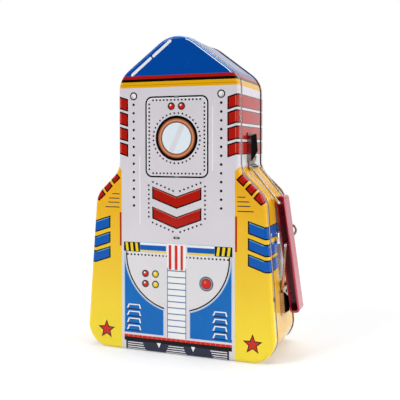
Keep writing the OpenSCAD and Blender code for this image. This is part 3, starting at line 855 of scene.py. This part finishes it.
def coppered_wire():
    """Coppered wire, with a painted highlight of bright steel colour where it bends into the grip's
    channel.
    """
    m = Nodes("coppered_wire")
    height = m.axes(m.place)["Z"]
    bend_highlight = m.ramp(height, WIRE_BEND_Z * MM, (WIRE_BEND_Z + BEND_HIGHLIGHT_OVER) * MM, 0.0, 1.0)
    cloud = m.ramp(m.noise(130, 5, 0.6), 0.35, 0.68, 0.0, 1.0)
    copper = m.mix(cloud, (0.70, 0.38, 0.22), (0.42, 0.21, 0.12))
    m.link(m.mix(bend_highlight, copper, (0.90, 0.89, 0.87)), m.shader.inputs["Base Color"])
    m.link(m.ramp(m.noise(600, 4, 0.6), 0.3, 0.7, 0.18, 0.36), m.shader.inputs["Roughness"])
    m.set(Metallic=1.0)
    m.bump([(m.noise(2100, 2), 0.08, 0.06), (m.noise(60, 2), 0.2, 0.2)])
    return m.material


# The painted black shade lies on what stands further than this from the box's side and faces
# straight out
COVER_STEP, FACING_OUT = 2.0, 0.97


def bracket_nickel(name, tones, side_x, taper):
    """Nickel plate with a painted black shade on the raised cover's outward face, standing in for
    the shade inside a hollow there.

    The bracket sits on the side whose place is side_x, less taper times the height."""
    m = metal_nodes(name, *tones, 0.2, stretch=(1, 1, 6))
    # Painted shade: near black, matt and without specular, in place of the shade inside a hollow
    hollow_shade = m.make("ShaderNodeBsdfPrincipled", Roughness=0.6, **{"Specular IOR Level": 0.0})
    pores = m.make("ShaderNodeTexNoise", Scale=700)
    m.link(m.ramp(pores.outputs["Fac"], 0.3, 0.7, 0.003, 0.009), hollow_shade.inputs["Base Color"])
    facing = m.axes(m.make("ShaderNodeNewGeometry").outputs["True Normal"])
    outward = m.math("GREATER_THAN", facing["X"], FACING_OUT)
    spot = m.axes(m.place)
    off_side = m.math("MULTIPLY_ADD", spot["Z"], taper, spot["X"])
    raised = m.math("GREATER_THAN", off_side, (side_x + COVER_STEP) * MM)
    m.blend(m.math("MULTIPLY", outward, raised), m.shader.outputs[0], hollow_shade.outputs[0])
    return m.material


bracket_plates = {
    "handle_bracket_upper": bracket_nickel(
        "bracket_upper_nickel", ((0.42, 0.36, 0.33), (0.22, 0.17, 0.15)), BODY_HALF, 0.0),
    "handle_bracket_lower": bracket_nickel(
        "bracket_lower_nickel", ((0.62, 0.42, 0.32), (0.36, 0.22, 0.16)), BASE_HALF, FIN_TAPER)}
nickel = metal("nickel_plate", (0.46, 0.43, 0.40), (0.24, 0.21, 0.19), 0.16, stretch=(1, 1, 6))
bright_nickel = metal(
    "bright_nickel_plate", (0.97, 0.98, 1.0), (0.80, 0.82, 0.87), 0.25, stretch=(1, 1, 6))
wire = metal("steel_wire", (0.97, 0.96, 0.94), (0.80, 0.78, 0.74), 0.24, scale=1.4)
loop_wire = metal("darkened_wire", (0.46, 0.40, 0.33), (0.26, 0.20, 0.14), 0.26, scale=1.4)
copper_wire = coppered_wire()
tinplate = metal("bare_tinplate", (0.70, 0.70, 0.68), (0.52, 0.51, 0.48), 0.30, stretch=(6, 1, 1))
rivet_steel = metal("rivet_steel", (0.70, 0.68, 0.64), (0.42, 0.38, 0.32), 0.20)
red_plastic = plastic("red_plastic", (0.52, 0.012, 0.05), (0.36, 0.006, 0.03))
print_tin = printed_tin("printed_tin")

cap("front_skin", "box", "printed_front", "front_panel", FRONT_Y, FRONT_SEAM_Y, print_tin)
cap("lid_skin", "lid", "printed_lid", "rear_lid", REAR_Y, REAR_SEAM_Y, print_tin)
band("band_skin", "box", "printed_band", "body_band", BAND_START_Y, BAND_END_Y, print_tin)

finishes = {
    "body_collar": tinplate, "handle_grip": red_plastic, "handle_link_upper": wire,
    "handle_link_lower": copper_wire, "latch_catch": bright_nickel, "latch_loop": loop_wire,
    **bracket_plates}
# Width of the softened edges, in mm
SOFT, SOFT_BY_NODE = 0.1, {"handle_grip": 0.35, **dict.fromkeys(bracket_plates, 0.25)}
SOFT_ANGLE = math.radians(35)

for node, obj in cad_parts.items():
    if obj.hide_render:
        continue
    if "rivets" in node or "pin" in node.split("_"):
        finish = rivet_steel
    else:
        finish = finishes.get(node, nickel)
    obj.data.materials.clear()
    obj.data.materials.append(finish)
    if node != "body_collar":
        weld = obj.modifiers.new("weld", "WELD")
        weld.merge_threshold = TINY
        soft = obj.modifiers.new("soft_edges", "BEVEL")
        soft.width = SOFT_BY_NODE.get(node, SOFT) * MM
        soft.segments = 2
        soft.limit_method = "ANGLE"
        soft.angle_limit = SOFT_ANGLE
        soft.use_clamp_overlap = True

# ---- Floor, light and camera ----
# The studio shows white to the camera. As light it is dimmer: BACK_LIGHT behind the object, and
# WALL_LIGHT behind the camera, as from a dark wall. It goes from one to the other as the
# direction's Y goes from WALL_Y to BACK_Y.
BACK_LIGHT, WALL_LIGHT = 0.68, 0.03
WALL_Y, BACK_Y = -0.55, 0.15
FLOOR_R, FLOOR_RINGS, FLOOR_SIDES = 1.0, 24, 96
# The floor glows by GLOW_LEAST up to GLOW_FROM metres from the middle, and fully at GLOW_WHOLE
GLOW_FROM, GLOW_WHOLE, GLOW_LEAST = 0.15, 0.75, 0.3


def floor():
    """A pale round floor that grows as bright as the backdrop towards its edge."""
    n = FLOOR_SIDES
    points = [(0, 0, 0)]
    for k in range(1, FLOOR_RINGS + 1):
        r = FLOOR_R * k / FLOOR_RINGS
        points += [(r * math.cos(math.tau * i / n), r * math.sin(math.tau * i / n), 0)
                   for i in range(n)]
    faces = [(0, 1 + i, 1 + (i + 1) % n) for i in range(n)]
    for k in range(FLOOR_RINGS - 1):
        for i in range(n):
            j, first = (i + 1) % n, 1 + k * n
            faces.append((first + i, first + n + i, first + n + j, first + j))
    mesh = bpy.data.meshes.new("floor")
    mesh.from_pydata(points, [], faces)
    obj = bpy.data.objects.new("floor", mesh)
    bpy.context.scene.collection.objects.link(obj)
    m = Nodes("pale_floor")
    cloud = m.ramp(m.noise(2, 2), 0.3, 0.7, 0, 1)
    m.link(m.mix(cloud, (0.86, 0.87, 0.885), (0.88, 0.89, 0.905)), m.shader.inputs["Base Color"])
    m.set(Roughness=0.7, Specular_IOR_Level=0.1)
    reach = m.make("ShaderNodeVectorMath", operation="LENGTH")
    m.link(m.place, reach.inputs[0])
    glow = m.make("ShaderNodeEmission")
    seen = m.make("ShaderNodeLightPath").outputs["Is Camera Ray"]
    m.link(m.ramp(seen, 0.0, 1.0, BACK_LIGHT, 1.0), glow.inputs["Strength"])
    m.blend(m.ramp(reach.outputs["Value"], GLOW_FROM, GLOW_WHOLE, GLOW_LEAST, 1.0),
            m.shader.outputs[0], glow.outputs[0])
    mesh.materials.append(m.material)


def softbox(name, place, target, size, power):
    """A square lamp aimed at target; metres and watts."""
    light = bpy.data.lights.new(name, "AREA")
    light.shape, light.size, light.energy = "SQUARE", size, power
    obj = bpy.data.objects.new(name, light)
    bpy.context.scene.collection.objects.link(obj)
    obj.location = place
    obj.rotation_euler = (Vector(target) - Vector(place)).to_track_quat("-Z", "Y").to_euler()


floor()
softbox("key", (-1.1, -1.2, 1.5), (0, 0, 0.1), 0.9, 29.9)
softbox("right_fill", (1.5, -0.2, 0.7), (0, 0, 0.12), 1.0, 13.5)
softbox("top", (0.1, 0.3, 1.9), (0, 0, 0), 1.4, 19)
world = bpy.data.worlds.new("studio")
bpy.context.scene.world = world
world.use_nodes = True
tree = world.node_tree
sky = tree.nodes["Background"]
way = tree.nodes.new("ShaderNodeTexCoord")
axes = tree.nodes.new("ShaderNodeSeparateXYZ")
depth = tree.nodes.new("ShaderNodeMapRange")
depth.interpolation_type = "SMOOTHSTEP"
for key, v in (("From Min", WALL_Y), ("From Max", BACK_Y),
               ("To Min", WALL_LIGHT), ("To Max", BACK_LIGHT)):
    depth.inputs[key].default_value = v
seen = tree.nodes.new("ShaderNodeLightPath")
either = tree.nodes.new("ShaderNodeMath")
either.operation = "MAXIMUM"
tree.links.new(way.outputs["Generated"], axes.inputs[0])
tree.links.new(axes.outputs["Y"], depth.inputs["Value"])
tree.links.new(depth.outputs["Result"], either.inputs[0])
tree.links.new(seen.outputs["Is Camera Ray"], either.inputs[1])
tree.links.new(either.outputs[0], sky.inputs["Strength"])
sky.inputs["Color"].default_value = (1, 1, 1, 1)
bpy.context.scene.view_settings.view_transform = "Standard"

# The photo's view: turned left by YAW from straight at the front, and tilted down by PITCH
EYE, YAW, PITCH = (0.1824, -0.4832, 0.1565), math.radians(20.07), math.radians(2.0)
camera = bpy.data.cameras.new("camera")
camera.lens, camera.sensor_width, camera.shift_y = 58.2, 36.0, -0.074
camera.clip_start, camera.clip_end = 0.01, 30
eye = bpy.data.objects.new("camera", camera)
bpy.context.scene.collection.objects.link(eye)
level = math.cos(PITCH)
look = Vector((-math.sin(YAW) * level, math.cos(YAW) * level, -math.sin(PITCH)))
eye.location = EYE
eye.rotation_euler = look.to_track_quat("-Z", "Y").to_euler()
bpy.context.scene.camera = eye
